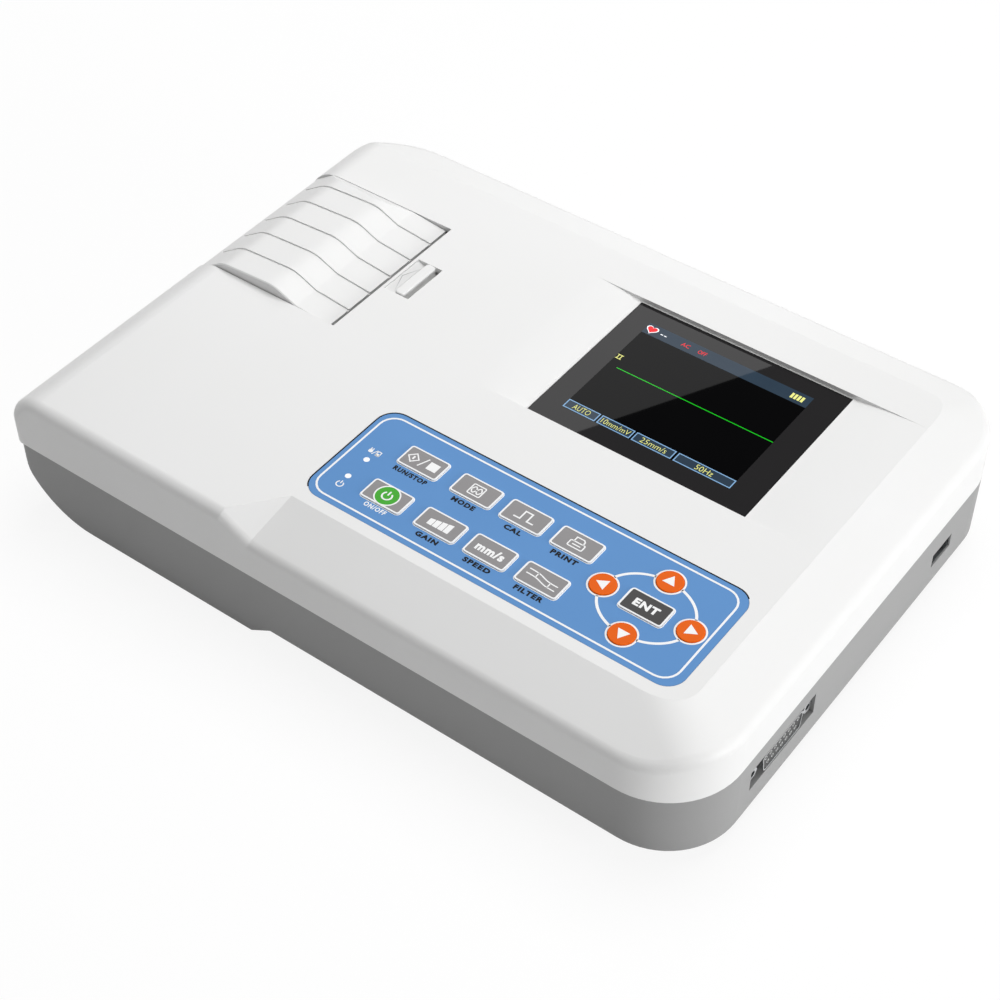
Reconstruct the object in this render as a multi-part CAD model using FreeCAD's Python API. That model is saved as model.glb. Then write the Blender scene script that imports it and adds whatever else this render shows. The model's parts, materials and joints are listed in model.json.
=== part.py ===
import FreeCAD, Part
import math
import os

# Portable desktop ECG recorder: a white cover over a grey case, a keypad and a
# display on top, a ribbed paper door with a thermal recorder under it on the left.
# Everything is drawn with x from the left end, y from the front and z from the
# split between cover and case, then moved so that the origin is under the middle.

# Overall sizes, mm
length = 286.0
depth = 204.0
coverHeight = 23.0          # split to the flat top
caseLow = 31.0              # split to the underside, left part
caseHigh = 25.4             # split to the underside, right part
padHeight = 1.0             # rubber under the left part
wall = 2.2
caseSetBack = 1.3           # case front sits behind the cover's front
lowShare = 0.376            # share of the length over the low underside
stepRun = 9.0
stepX = (lowShare * length, lowShare * length + stepRun)   # ramp between the two undersides

# Plan corners and top bevels
cornerFrontRight = 28.0
cornerBackRight = 23.5
cornerFrontLeft = 4.5
cornerBackLeft = 36.0
leftRound = 15.0            # long rounding along the left edge
topEdgeRound = 4.0
hipRound = 40.0
apronCrestY = 20.5          # front slope starts here
apronSlope = 21.3
bevelRun = 18.8             # right slope, crest to the right end
bevelCrestX = length - bevelRun
bevelSlope = 14.5
rearRun = 13.2              # rear slope, crest to the back
rearCrestY = depth - rearRun
rearSlope = 10.0

# Clearances
touchGap = 0.1              # pieces laid in a pocket
slideGap = 0.3              # pieces that move past each other
shaftGap = 0.05             # radial, shaft in hole

# Keypad
keypadX = (length - 172.2, length - 24.6)
keypadY = (25.2, 73.2)
keypadRound = 7.0
overlayThick = 0.9
keySize = (16.1, 9.3)
keyRound = 1.2
keyRise = 0.5               # key top above the overlay
keyTravel = 0.4
keyFlange = 1.2
roundKeyRadius = 4.6
keyColumns = (keypadX[0] + 26.2, keypadX[0] + 48.4, keypadX[0] + 68.6, keypadX[0] + 89.0)
keyRows = (38.8, 58.3)
padCentre = (keypadX[1] - 25.7, 48.9)
padReach = (16.5, 13.6)     # arrow keys from the pad's centre
lampX = keypadX[0] + 9.5
lampY = (38.8, 48.5)
lampRadius = 1.1
keyBoardTop = 17.2
keyBoardThick = 1.6
domeHeight = 0.5
apronLeftTop = keypadX[0] - 15.8    # left end of the front slope, along the top edge
apronLeftCrest = keypadX[0] + 0.5
apronLeftFoot = keypadX[0] - 2.0

# Display
glassX = (length - 135.5, length - 47.5)
glassY = (depth - 102.5, depth - 30.3)
glassThick = 1.5
valleyDrop = 1.9            # glass below the flat top
valleyX = (glassX[0] - 20.5, glassX[1] + 28.5)   # where the valley runs out to the top
apertureX = (glassX[0] + 7.0, glassX[1] - 8.5)
apertureY = (glassY[0] + 7.0, glassY[1] - 5.2)
panelX = (glassX[0] + 2.5, glassX[1] - 3.5)
panelY = (glassY[0] + 3.0, glassY[1] - 2.7)
panelThick = 3.0
trayThick = 1.2
seatDepth = 3.5             # cover thickness under the glass

# Paper door and its latch
doorX = 67.4
doorY = (depth - 108.7, depth - 39.7)
doorThick = 2.0
hingeX, hingeZ = 5.4, 15.6
hingePin = 1.25
hingeBarrel = 2.4
doorCrest = ((4.2, 17.68), (16.5, 25.9), (41.8, 27.4), (51.8, 22.9), (doorX, 21.2))
crestRounds = (14.0, 14.0, 4.0)     # bends over the roll, left to right
doorEndBevel = 0.4          # front end, along its upper edge
grooveFirstY = doorY[0] + 11.2
groovePitch = 12.0
grooveWidth = 0.9
grooveDepth = 0.7
slotEdge = 70.0             # cover edge across the paper slot
latchX = (71.2, 82.4)
latchY = (doorY[0] + 27.2, doorY[0] + 47.7)
latchButton = (75.7, 79.9)
latchRamp = 3.7             # sloping strip beside the button
catchY = ((doorY[0] + 2.2, doorY[0] + 6.2), (doorY[1] - 6.0, doorY[1] - 2.4))

# Recorder
paperWidth = 50.0
paperMiddleY = doorY[0] + 34.7
rollX, rollZ = 30.5, -2.0
rollRadius = 24.0
coreRadius = 6.5
spindleRadius = 5.0
journalRadius = 3.5
cheekThick = 2.0
cheekGap = 0.6              # cheek to roll or roller
platenX, platenZ = 61.5, 10.0
platenRadius = 5.0
platenShaft = 2.0
bushRadius = 3.0
gearModule = 0.8
pinionTeeth, idlerTeeth, platenTeeth = 12, 30, 16
gearY = (paperMiddleY + 33.2, paperMiddleY + 37.2)
idlerOffset = -8.0          # idler axis in x from the platen axis
motorDrop = 5.13            # motor axis below the idler axis
motorRadius = 10.0
motorY = (paperMiddleY + 40.5, paperMiddleY + 60.0)
motorShaft = 1.0
motorPlate = 2.0

# Sockets
leadMiddle = (54.3, -11.5)  # lead connector, y and z
leadRecess = (39.2, 9.4)
leadSetBack = 5.8           # recess floor behind the right wall
leadFloorX = length - leadSetBack
leadScrewPitch = 33.3
leadPitch = 2.77
leadRowPitch = 2.84
usbMiddle = (depth - 44.0, -13.6)
inletMiddle = (length - 71.0, -12.0)
inletFlange = (30.8, 22.4)
inletBody = (27.0, 19.8)

# Inside and underneath
boardThick = 1.6
boardZ = -18.1
screwRadius = 1.5
bossRadius = 3.6
screwIn = 8.0               # screws in from the front and the back
screwColumns = (60.0, stepX[1] + 7.5)
screwPlaces = tuple((x, y) for x in screwColumns for y in (screwIn, depth - screwIn))
screwPlaces += ((length - 30.0, screwIn), (length - 28.0, depth - screwIn - 1.0))
padPlaces = ((42.0, 10.5), (42.0, depth - 12.0))
footPlaces = ((length - 24.0, 24.0), (length - 24.0, depth - 26.0))
batteryWell = ((43.0, 91.0), (21.0, 75.0))
batteryLip = 3.0

V = FreeCAD.Vector
originShift = V(-length / 2, -depth / 2, caseLow + padHeight)
os.makedirs("parts", exist_ok=True)


def save(name, shape):
    moved = shape.copy()
    moved.translate(originShift)
    moved.exportStep("parts/%s.step" % name)


def box(x, y, z):
    return Part.makeBox(x[1] - x[0], y[1] - y[0], z[1] - z[0], V(x[0], y[0], z[0]))


def rodX(y, z, radius, x):
    return Part.makeCylinder(radius, x[1] - x[0], V(x[0], y, z), V(1, 0, 0))


def rodY(x, z, radius, y):
    return Part.makeCylinder(radius, y[1] - y[0], V(x, y[0], z), V(0, 1, 0))


def rodZ(x, y, radius, z):
    return Part.makeCylinder(radius, z[1] - z[0], V(x, y, z[0]), V(0, 0, 1))


def polygonFace(points):
    return Part.Face(Part.makePolygon(points + [points[0]]))


def prismXZ(points, y):
    return polygonFace([V(a, y[0], b) for a, b in points]).extrude(V(0, y[1] - y[0], 0))


def prismYZ(points, x):
    return polygonFace([V(x[0], a, b) for a, b in points]).extrude(V(x[1] - x[0], 0, 0))


def roundedPlan(x, y, radii, z):
    # plan face with its own radius at each corner: front left, front right, back right, back left
    fl, fr, br, bl = radii
    k = 1 - math.sqrt(0.5)
    runs = [
        ((x[0] + fl, y[0]), (x[1] - fr, y[0]), (x[1] - fr * k, y[0] + fr * k), (x[1], y[0] + fr)),
        ((x[1], y[0] + fr), (x[1], y[1] - br), (x[1] - br * k, y[1] - br * k), (x[1] - br, y[1])),
        ((x[1] - br, y[1]), (x[0] + bl, y[1]), (x[0] + bl * k, y[1] - bl * k), (x[0], y[1] - bl)),
        ((x[0], y[1] - bl), (x[0], y[0] + fl), (x[0] + fl * k, y[0] + fl * k), (x[0] + fl, y[0])),
    ]
    edges = []
    for start, bend, middle, end in runs:
        edges.append(Part.LineSegment(V(*start, z), V(*bend, z)).toShape())
        edges.append(Part.Arc(V(*bend, z), V(*middle, z), V(*end, z)).toShape())
    return Part.Face(Part.Wire(edges))


def roundedBlock(x, y, z, radius):
    return roundedPlan(x, y, (radius,) * 4, z[0]).extrude(V(0, 0, z[1] - z[0]))


def centred(middle, size):
    return (middle - size / 2, middle + size / 2)


def slopeLine(angle, inset):
    # tangent of a slope and how far it sinks when its surface is set in by a wall
    tangent = math.tan(math.radians(angle))
    return tangent, inset * math.sqrt(1 + tangent * tangent)


def sideOf(a, b, c, toward, shift):
    # everything on one side of the plane through three points
    along = (b - a).normalize()
    normal = (b - a).cross(c - a).normalize()
    if normal.dot(toward) < 0:
        normal = normal * -1
    across = normal.cross(along)
    reach = 2 * length
    start = a + normal * shift
    corners = []
    for i, j in ((-1, -1), (1, -1), (1, 1), (-1, 1)):
        corners.append(start + along * (i * reach) + across * (j * reach))
    return polygonFace(corners).extrude(normal * reach)


def coverForm(inset):
    # the cover's solid form, or its hollow when set in by the wall
    foot = 0.0 if inset == 0 else -1.0
    top = coverHeight - inset
    corners = (cornerFrontLeft, cornerFrontRight - inset, cornerBackRight - inset, cornerBackLeft)
    plan = roundedPlan((inset, length - inset), (inset, depth - inset), corners, foot)
    form = plan.extrude(V(0, 0, top - foot))
    radius = leftRound - inset
    low = coverHeight - leftRound
    diagonal = radius * math.sqrt(0.5)
    right = length + 9
    ends = [V(inset, -1, -2), V(inset, -1, low), V(leftRound, -1, top), V(right, -1, top), V(right, -1, -2)]
    bend = V(leftRound - diagonal, -1, low + diagonal)
    edges = [
        Part.LineSegment(ends[0], ends[1]).toShape(),
        Part.Arc(ends[1], bend, ends[2]).toShape(),
        Part.LineSegment(ends[2], ends[3]).toShape(),
        Part.LineSegment(ends[3], ends[4]).toShape(),
        Part.LineSegment(ends[4], ends[0]).toShape(),
    ]
    form = form.common(Part.Face(Part.Wire(edges)).extrude(V(0, depth + 2, 0)))

    rise, sink = slopeLine(apronSlope, inset)
    frontZ = coverHeight - apronCrestY * rise
    apron = prismYZ([(-9, frontZ - 9 * rise - sink), (60, frontZ + 60 * rise - sink),
                     (-9, frontZ + 60 * rise)],
                    (apronLeftTop - 38, length + 9))
    leftEnd = sideOf(V(apronLeftTop, 0, coverHeight), V(apronLeftCrest, apronCrestY, coverHeight),
                     V(apronLeftFoot, 0, frontZ), V(1, 0, 0), -inset)
    form = form.cut(apron.common(leftEnd))

    rise, sink = slopeLine(bevelSlope, inset)
    form = form.cut(prismXZ([(bevelCrestX - 30, coverHeight + 30 * rise - sink),
                             (bevelCrestX + 30, coverHeight - 30 * rise - sink),
                             (bevelCrestX + 30, coverHeight + 30 * rise)], (-9, depth + 9)))

    rise, sink = slopeLine(rearSlope, inset)
    return form.cut(prismYZ([(rearCrestY - 30, coverHeight + 30 * rise - sink),
                             (rearCrestY + 30, coverHeight - 30 * rise - sink),
                             (rearCrestY + 30, coverHeight + 30 * rise)], (-9, length + 9)))


def hipEdges(form):
    # the two sloping edges where the right slope meets the front and the rear slopes
    found = []
    for edge in form.Edges:
        b = edge.BoundBox
        if abs(b.XMin - bevelCrestX) < 0.01 and b.XMax - b.XMin > 3 and b.ZMax - b.ZMin > 1:
            found.append(edge)
    return found


def rimEdges(form):
    # the edges where the top meets the front, right and back walls
    found = []
    for edge in form.Edges:
        b = edge.BoundBox
        onFront = b.YMax < 0.05 and b.XMin > cornerFrontLeft - 0.5
        onSide = b.XMin > length - 0.1 or b.YMin > depth - 0.1
        onCorner = (b.XMin > length - cornerFrontRight - 0.1 and b.ZMax < coverHeight - 0.5
                    and (b.YMax < cornerFrontRight + 0.1 or b.YMin > depth - cornerBackRight - 0.6))
        if b.ZMin > 14 and b.ZMax - b.ZMin < 9 and (onFront or onSide or onCorner):
            found.append(edge)
    return found


def keyShape(x, y, isRound):
    # cap in the overlay's window, a flange under the cover's skin and a short stem
    top = coverHeight + keyRise
    skin = coverHeight - wall
    under = skin - keyTravel
    if isRound:
        cap = rodZ(x, y, roundKeyRadius, (under, top))
        cap = cap.makeFillet(0.3, [e for e in cap.Edges if e.BoundBox.ZMin > top - 0.01])
        flange = rodZ(x, y, roundKeyRadius + keyFlange, (under - 1, under))
    else:
        cap = roundedBlock(centred(x, keySize[0]), centred(y, keySize[1]), (under, top), keyRound)
        cap = cap.makeFillet(0.3, [e for e in cap.Edges if e.BoundBox.ZMin > top - 0.01])
        flange = roundedBlock(centred(x, keySize[0] + 2 * keyFlange), centred(y, keySize[1] + 2 * keyFlange),
                              (under - 1, under), keyRound)
    stem = rodZ(x, y, 1.5, (keyBoardTop + domeHeight + keyTravel + 0.1, under - 1))
    return cap.fuse([flange, stem]).removeSplitter()


def keyWindow(x, y, isRound, z):
    if isRound:
        return rodZ(x, y, roundKeyRadius + slideGap, z)
    across, along = keySize
    return roundedBlock(centred(x, across + 2 * slideGap), centred(y, along + 2 * slideGap), z, keyRound)


def involuteGear(x, z, teeth, y, phase, bore):
    # spur gear about an axis along y, with involute flanks thinned for backlash
    pitch = gearModule * teeth / 2
    base = pitch * math.cos(math.radians(20))
    tip = pitch + 0.92 * gearModule
    root = pitch - 1.15 * gearModule
    spread = math.tan(math.radians(20)) - math.radians(20)
    half = math.pi / (2 * teeth) - 0.05 / pitch + spread
    points = []
    for tooth in range(teeth):
        middle = phase + 2 * math.pi * tooth / teeth
        flank = []
        for step in range(6):
            radius = max(base, root) + (tip - max(base, root)) * step / 5
            roll = math.sqrt(max((radius / base) ** 2 - 1, 0))
            flank.append((radius, half - (roll - math.atan(roll))))
        if root < base:
            flank.insert(0, (root, flank[0][1]))
        points += [(r, middle - a) for r, a in flank]
        points += [(r, middle + a) for r, a in reversed(flank)]
    corners = [V(x + r * math.cos(a), y[0], z + r * math.sin(a)) for r, a in points]
    gear = polygonFace(corners).extrude(V(0, y[1] - y[0], 0))
    return gear.cut(rodY(x, z, bore, (y[0] - 1, y[1] + 1)))


keyNames = {
    "key_start_stop": (keyColumns[0], keyRows[1], False),
    "key_mode": (keyColumns[1], keyRows[1], False),
    "key_calibrate": (keyColumns[2], keyRows[1], False),
    "key_print": (keyColumns[3], keyRows[1], False),
    "key_power": (keyColumns[0], keyRows[0], False),
    "key_gain": (keyColumns[1], keyRows[0], False),
    "key_speed": (keyColumns[2], keyRows[0], False),
    "key_filter": (keyColumns[3], keyRows[0], False),
    "key_enter": (padCentre[0], padCentre[1], False),
    "key_left": (padCentre[0] - padReach[0], padCentre[1], True),
    "key_right": (padCentre[0] + padReach[0], padCentre[1], True),
    "key_up": (padCentre[0], padCentre[1] + padReach[1], True),
    "key_down": (padCentre[0], padCentre[1] - padReach[1], True),
}

# Cover: hollow form, seats and posts inside, then every opening
outer = coverForm(0.0)
outer = outer.makeFillet(hipRound, hipEdges(outer))
outer = outer.makeFillet(topEdgeRound, rimEdges(outer))
cover = outer.cut(coverForm(wall))
skin = coverHeight - wall
glassTop = coverHeight - valleyDrop
glassZ = (glassTop - glassThick, glassTop)
seatZ = (glassTop - seatDepth, skin)
seatRim = 4.5               # seat around the glass
added = [box((glassX[0] - seatRim, glassX[1] + seatRim), (glassY[0] - seatRim, glassY[1] + seatRim),
             (seatZ[0], skin + 0.5))]
for x, y in screwPlaces:
    added.append(rodZ(x, y, bossRadius, (0, coverHeight)).common(outer))
for x in (keypadX[0] + 4.2, keypadX[0] + 78.5, keypadX[1] - 4.4):
    for y in (keypadY[0] + 4.0, keypadY[1] - 6.0):
        added.append(rodZ(x, y, 2.0, (keyBoardTop, skin + 0.5)))
for y in (doorY[0] - 4.8, doorY[1] + 0.3):
    added.append(box((1.0, 10.0), (y, y + 4.5), (10.0, 20.0)).common(outer))
cheekMiddle = paperWidth / 2 + cheekGap + cheekThick / 2
for y in (paperMiddleY - cheekMiddle, paperMiddleY + cheekMiddle):
    added.append(box((72.0, 84.0), centred(y, cheekThick), (19.6, skin + 0.5)))
cover = cover.fuse(added).removeSplitter()

leftRun = glassX[0] - 1 - valleyX[0]
rightRun = valleyX[1] - glassX[1] - 1
valleyY = (glassY[0] - 0.4, glassY[1] + 0.5)


def rollOff(run, share):
    # depth of an arc that leaves the top level and reaches the valley floor at its end
    radius = (run * run + valleyDrop * valleyDrop) / (2 * valleyDrop)
    return radius - math.sqrt(radius * radius - (run * share) ** 2)


valleyFront = valleyY[0]
aboveTop = coverHeight + 4
lipRight = V(valleyX[1], valleyFront, aboveTop)
lipLeft = V(valleyX[0], valleyFront, aboveTop)
valleyEdges = [
    Part.Arc(V(valleyX[0], valleyFront, coverHeight),
             V(valleyX[0] + leftRun / 2, valleyFront, coverHeight - rollOff(leftRun, 0.5)),
             V(valleyX[0] + leftRun, valleyFront, glassTop)).toShape(),
    Part.LineSegment(V(valleyX[0] + leftRun, valleyFront, glassTop),
                     V(valleyX[1] - rightRun, valleyFront, glassTop)).toShape(),
    Part.Arc(V(valleyX[1] - rightRun, valleyFront, glassTop),
             V(valleyX[1] - rightRun / 2, valleyFront, coverHeight - rollOff(rightRun, 0.5)),
             V(valleyX[1], valleyFront, coverHeight)).toShape(),
    Part.LineSegment(V(valleyX[1], valleyFront, coverHeight), lipRight).toShape(),
    Part.LineSegment(lipRight, lipLeft).toShape(),
    Part.LineSegment(lipLeft, V(valleyX[0], valleyFront, coverHeight)).toShape(),
]
openings = [Part.Face(Part.Wire(valleyEdges)).extrude(V(0, valleyY[1] - valleyY[0], 0))]
openings.append(box((glassX[0] - touchGap, glassX[1] + touchGap),
                    (glassY[0] - touchGap, glassY[1] + touchGap), (glassZ[0], coverHeight)))
openings.append(box(apertureX, apertureY, (0, coverHeight)))
overlayZ = (coverHeight - overlayThick, coverHeight)
openings.append(roundedBlock((keypadX[0] - touchGap, keypadX[1] + touchGap),
                             (keypadY[0] - touchGap, keypadY[1] + touchGap),
                             (overlayZ[0], coverHeight + 2), keypadRound))
for x, y, isRound in keyNames.values():
    openings.append(keyWindow(x, y, isRound, (skin - 1, coverHeight)))
for y in lampY:
    openings.append(rodZ(lampX, y, lampRadius + touchGap, (skin - 1, coverHeight)))
doorGapY = (doorY[0] - slideGap, doorY[1] + slideGap)
openings.append(box((-2, slotEdge), doorGapY, (hingeZ - hingeBarrel - slideGap, coverHeight + 9)))
openings.append(rodY(hingeX, hingeZ, hingePin, (doorY[0] - 4.0, doorY[1] + 4.0)))
openings.append(box(latchX, latchY, (skin - 1, coverHeight + 2)))
for x, y in screwPlaces:
    openings.append(rodZ(x, y, screwRadius, (-1, 8.2)))
cover = cover.cut(openings)
rampLeft = latchX[0] - 0.5
ramp = prismXZ([(rampLeft, coverHeight - 0.4), (latchX[0] + latchRamp, skin), (rampLeft, skin)], latchY)
cover = cover.fuse(ramp).removeSplitter()
save("top_cover", cover)


# Case: side profile within the plan, hollowed, with bosses, pockets and openings
def caseForm(inset):
    top = 0.0 if inset == 0 else 1.0
    low = caseLow - inset
    high = caseHigh - inset
    front = caseSetBack + inset
    corners = (cornerFrontLeft, cornerFrontRight - front, cornerBackRight - inset, cornerBackLeft)
    plan = roundedPlan((inset, length - inset), (front, depth - inset), corners, -40)
    plan = plan.extrude(V(0, 0, 40 + top))
    k = math.sqrt(0.5)
    marks = [V(inset, 0, top), V(inset, 0, 0), V(caseLow, 0, -low), V(stepX[0] + inset / 2, 0, -low),
             V(stepX[1] + inset / 2, 0, -high), V(length + 9, 0, -high), V(length + 9, 0, top)]
    edges = [Part.Arc(marks[1], V(caseLow - low * k, 0, -low * k), marks[2]).toShape()]
    edges += [Part.LineSegment(marks[i], marks[i + 1]).toShape() for i in range(2, 6)]
    if inset:
        edges.append(Part.LineSegment(marks[6], marks[0]).toShape())
        edges.append(Part.LineSegment(marks[0], marks[1]).toShape())
    else:
        edges.append(Part.LineSegment(marks[6], marks[1]).toShape())
    return plan.common(Part.Face(Part.Wire(edges)).extrude(V(0, depth + 9, 0)))


caseOuter = caseForm(0.0)
case = caseOuter.cut(caseForm(wall))
lowFloor = -caseLow + wall
highFloor = -caseHigh + wall


def floorAt(x):
    return lowFloor if x < stepX[0] else highFloor


boardX = (stepX[1] + 6.0, length - 8.5)      # main board
boardY = (14.0, depth - 54.0)
powerX = (stepX[1] + 9.5, length - 92.0)     # power board
powerY = (depth - 49.0, depth - 13.0)
boardPosts = [(x, y) for x in (boardX[0] + 5.5, boardX[1] - 19.5) for y in (boardY[0] + 6.0, boardY[1] - 6.0)]
powerPosts = [(x, y) for x in (powerX[0] + 4.0, powerX[1] - 4.0) for y in (powerY[0] + 4.0, powerY[1] - 4.0)]
leadY = centred(leadMiddle[0], leadRecess[0])
leadZ = centred(leadMiddle[1], leadRecess[1])
added = [box((leadFloorX - 1.2, length), (leadY[0] - 1.5, leadY[1] + 1.5), (leadZ[0] - 2, leadZ[1] + 1.6))]
added[0] = added[0].common(caseOuter)
inletX = centred(inletMiddle[0], inletFlange[0])
inletZ = centred(inletMiddle[1], inletFlange[1])
added.append(box((inletX[0] - 2, inletX[1] + 2), (depth - 4.5, depth), (highFloor - 1, 0)).common(caseOuter))
for x, y in screwPlaces:
    added.append(rodZ(x, y, bossRadius, (floorAt(x) - 1, 0)))
for x, y in boardPosts + powerPosts:
    added.append(rodZ(x, y, 2.5, (highFloor - 1, boardZ)))
case = case.fuse(added).removeSplitter()
openings = [box((leadFloorX, length + 1), leadY, leadZ)]
usbY = centred(usbMiddle[0], 13.4)
usbZ = centred(usbMiddle[1], 6.0)
openings.append(box((length - 9, length + 1), usbY, usbZ))
openings.append(box((inletX[0] - touchGap, inletX[1] + touchGap), (depth - 1.6, depth + 1),
                    (inletZ[0] - touchGap, inletZ[1] + touchGap)))
openings.append(box(centred(inletMiddle[0], inletBody[0] + 0.2), (depth - 9, depth),
                    centred(inletMiddle[1], inletBody[1] + 0.2)))
wellX, wellY = batteryWell
lidZ = (-caseLow, -caseLow + 1.2)
openings.append(box(wellX, wellY, (-caseLow - 1, lowFloor + 1)))
lidX = (wellX[0] - batteryLip, wellX[1] + batteryLip)
lidY = (wellY[0] - batteryLip, wellY[1] + batteryLip)
openings.append(box(lidX, lidY, (-caseLow - 1, lidZ[1])))
for x, y in screwPlaces:
    openings.append(rodZ(x, y, screwRadius + 0.1, (-40, 1)))
    openings.append(rodZ(x, y, 3.1, (-40, floorAt(x) + 1)))
screwHoles = [leadMiddle[0] - leadScrewPitch / 2, leadMiddle[0] + leadScrewPitch / 2]
for y in screwHoles:
    openings.append(rodX(y, leadMiddle[1], 1.5, (leadFloorX - 3, leadFloorX + 1)))


def leadShape(width, height, x):
    # the connector's D outline: long side up, slanted ends, rounded corners
    middleY, middleZ = leadMiddle
    slant = height * math.tan(math.radians(10))
    top, foot = width / 2, width / 2 - slant
    corners = [(-foot, -height / 2), (foot, -height / 2), (top, height / 2), (-top, height / 2)]
    solid = prismYZ([(middleY + a, middleZ + b) for a, b in corners], x)
    return solid.makeFillet(1.6, [e for e in solid.Edges if e.BoundBox.XLength > 0.9 * (x[1] - x[0])])


shellSize = (24.9, 8.2)
openings.append(leadShape(shellSize[0] + 0.2, shellSize[1] + 0.2, (leadFloorX - 3, leadFloorX + 1)))
case = case.cut(openings)
save("bottom_case", case)

# Case screws from below, rubber pads and feet
screws = []
for x, y in screwPlaces:
    head = floorAt(x) + 1
    body = rodZ(x, y, 2.8, (head - 2, head)).fuse(rodZ(x, y, screwRadius, (head, 8))).removeSplitter()
    drive = box(centred(x, 3.4), centred(y, 0.8), (head - 3, head - 1.2))
    screws.append(body.cut([drive, box(centred(x, 0.8), centred(y, 3.4), (head - 3, head - 1.2))]))
save("case_screws", Part.makeCompound(screws))
save("left_pads", Part.makeCompound([rodZ(x, y, 6, (-caseLow - padHeight, -caseLow)) for x, y in padPlaces]))
feet = []
for x, y in footPlaces:
    foot = Part.makeCone(6.2, 7.2, caseLow + padHeight - caseHigh, V(x, y, -caseLow - padHeight), V(0, 0, 1))
    feet.append(foot)
save("right_feet", Part.makeCompound(feet))

# Battery and its lid
save("battery_pack", box((wellX[0] + 1, wellX[1] - 1), (wellY[0] + 1, wellY[1] - 1), (lidZ[1], -12)))
lid = box((lidX[0] + touchGap, lidX[1] - touchGap), (lidY[0] + touchGap, lidY[1] - touchGap), lidZ)
for x in (55.0, 67.0, 79.0):
    lid = lid.cut(box(centred(x, 6), (wellY[0], wellY[0] + 1.6), (lidZ[0] - 1, lidZ[0] + 0.5)))
save("battery_lid", lid)

# Keypad: overlay, keys, lamps, snap domes and their board
overlay = roundedBlock(keypadX, keypadY, overlayZ, keypadRound)
cuts = [keyWindow(x, y, isRound, (skin, coverHeight + 1)) for x, y, isRound in keyNames.values()]
cuts += [rodZ(lampX, y, lampRadius, (skin, coverHeight + 1)) for y in lampY]
save("keypad_overlay", overlay.cut(cuts))
for name, (x, y, isRound) in keyNames.items():
    save(name, keyShape(x, y, isRound))
boardSpanX = (keypadX[0] + 1, keypadX[1] - 1)
boardSpanY = (keypadY[0] + 1, keypadY[1] - 1)
save("keypad_board", roundedBlock(boardSpanX, boardSpanY, (keyBoardTop - keyBoardThick, keyBoardTop), 6.0))
domes = []
domeRadius = 3.0
sphere = (domeRadius ** 2 + domeHeight ** 2) / (2 * domeHeight)
for x, y, isRound in keyNames.values():
    ball = Part.makeSphere(sphere, V(x, y, keyBoardTop + domeHeight - sphere))
    domes.append(ball.common(rodZ(x, y, domeRadius + 1, (keyBoardTop, keyBoardTop + 2))))
save("key_domes", Part.makeCompound(domes))
lamps = [rodZ(lampX, y, lampRadius, (keyBoardTop, coverHeight)) for y in lampY]
save("indicator_lamps", Part.makeCompound(lamps))

# Display: glass, panel and its metal tray
save("display_glass", box(glassX, glassY, glassZ))
panelZ = (seatZ[0] - panelThick, seatZ[0])
save("display_panel", box(panelX, panelY, panelZ))
tray = box((panelX[0] - 1.0, panelX[1] + 1.0), (panelY[0] - 1.0, panelY[1] + 1.0),
           (panelZ[0] - trayThick, panelZ[1]))
save("display_tray", tray.cut(box(panelX, panelY, (panelZ[0], panelZ[1] + 1))))

# Paper door: arched skin, end walls, grooves across the arch, hinge barrel and catches
inside = [(doorX, 21.2 - doorThick), (51.4, 20.9), (41.3, 25.35), (17.2, 23.85), (7.6, 17.0)]
endFill = [(doorX, 19.2), (11.0, 19.2), (7.6, 17.0)]


def archBlock(underside):
    # door profile along its whole width, with the crest's three upper corners rounded
    block = prismXZ(list(doorCrest) + underside, doorY)
    for (x, z), bend in zip(doorCrest[1:4], crestRounds):
        blunt = []
        for edge in block.Edges:
            b = edge.BoundBox
            if abs(b.XMin - x) < 0.01 and abs(b.ZMin - z) < 0.01 and b.YLength > doorX / 2:
                blunt.append(edge)
        block = block.makeFillet(bend, blunt)
    return block


arch = archBlock(inside)
solidArch = archBlock(endFill)
frontEnd = solidArch.common(box((0, 90), (doorY[0], doorY[0] + doorThick), (0, 40)))
rearEnd = solidArch.common(box((0, 90), (doorY[1] - 9.0, doorY[1]), (0, 40)))
barrel = rodY(hingeX, hingeZ, hingeBarrel, doorY)
catches = []
for y in catchY:
    catches.append(box((62.6, 65.0), y, (12.6, 20.0)))
    catches.append(prismXZ([(65.0, 12.6), (66.0, 12.6), (66.9, 13.6), (66.9, 14.4), (65.0, 14.4)], y))
door = arch.fuse([frontEnd, rearEnd, barrel] + catches).removeSplitter()
endEdges = []
for edge in door.Edges:
    b = edge.BoundBox
    if b.YMax < doorY[0] + 0.01 and (b.ZMin + b.ZMax) / 2 > doorCrest[0][1] + doorThick and b.XLength > 1:
        endEdges.append(edge)
door = door.makeChamfer(doorEndBevel, endEdges)
door = door.cut(prismYZ([(doorY[1] - 7.3, 28.0), (doorY[1] + 1, 22.3), (doorY[1] + 1, 29.0)], (-1, 90)))
door = door.cut(rodY(hingeX, hingeZ, hingePin + shaftGap, (doorY[0] - 1, doorY[1] + 1)))
for i in range(5):
    y = centred(grooveFirstY + groovePitch * i, grooveWidth)
    band = solidArch.common(box((0, 90), y, (0, 40)))
    kept = band.copy()
    kept.translate(V(0, 0, -grooveDepth))
    door = door.cut(band.cut(kept).common(box((hingeX, 90), y, (18.5, 40))))
save("paper_door", door)
save("door_hinge_pin", rodY(hingeX, hingeZ, hingePin, (doorY[0] - 4.0, doorY[1] + 4.0)))

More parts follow.
